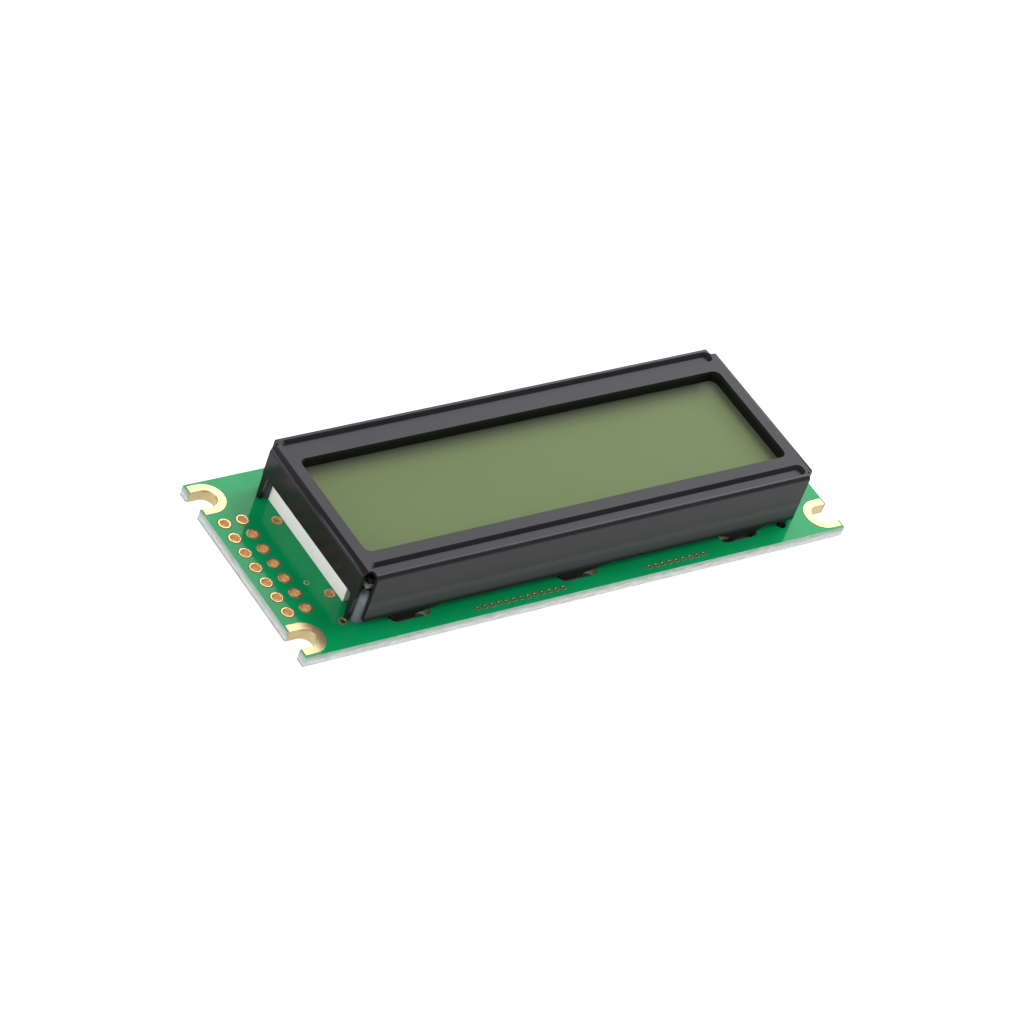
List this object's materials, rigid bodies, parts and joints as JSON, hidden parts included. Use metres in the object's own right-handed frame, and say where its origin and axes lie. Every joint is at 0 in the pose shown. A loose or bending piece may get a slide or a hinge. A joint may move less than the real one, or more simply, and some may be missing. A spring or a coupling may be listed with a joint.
{
  "type": "character lcd module",
  "caption": "Character display module: blank yellow-green panel in a folded black steel bezel, held by twisted tabs to a green circuit board with header holes and corner notches.",
  "frame": {"origin": "centre of the board's outline, on the plane that the tips of the bezel's tabs rest on", "axes": "+X along the board, away from the header holes; +Y across the board; +Z out of the display's face"},
  "size_m": [0.081, 0.0296, 0.0109],
  "materials": {
    "board": "glossy green solder mask over glass-epoxy, bare at the cut edges",
    "gold_plate": "satin, thin gold over copper",
    "bezel_paint": "semi-gloss black paint on folded steel sheet",
    "gasket": "matte black",
    "polariser_front": "matte, yellow-green through the cell",
    "cell_glass": "polished",
    "seal": "matte",
    "polariser_rear": "satin film",
    "elastomer": "matte",
    "clear_plastic": "clear, polished",
    "white_plastic": "matte white",
    "white_film": "matte white",
    "lamp": "glossy, pale yellow",
    "resin": "glossy black resin",
    "resistor": "black glaze on ceramic, with tinned ends",
    "capacitor": "tan ceramic, with tinned ends"
  },
  "bodies": {
    "root": {"circuit_board": "board", "bezel": "bezel_paint", "window_gasket": "gasket", "front_polariser": "polariser_front", "front_glass": "cell_glass", "cell_seal": "seal", "rear_glass": "cell_glass", "rear_polariser": "polariser_rear", "diffuser_film": "white_film", "light_guide": "clear_plastic", "reflector_film": "white_film", "lamp_cover": "white_plastic", "lamp_front": "lamp", "lamp_middle": "lamp", "lamp_back": "lamp", "elastomer_front": "elastomer", "elastomer_back": "elastomer", "chip_blob_left": "resin", "chip_blob_right": "resin", "chip_resistors": "resistor", "chip_capacitors": "capacitor", "notch_plating_front_left": "gold_plate", "notch_plating_back_left": "gold_plate", "notch_plating_front_right": "gold_plate", "notch_plating_back_right": "gold_plate", "header_barrels": "gold_plate", "supply_barrels": "gold_plate", "locating_barrel": "gold_plate", "via_plugs": "gold_plate"}
  },
  "joints": []
}
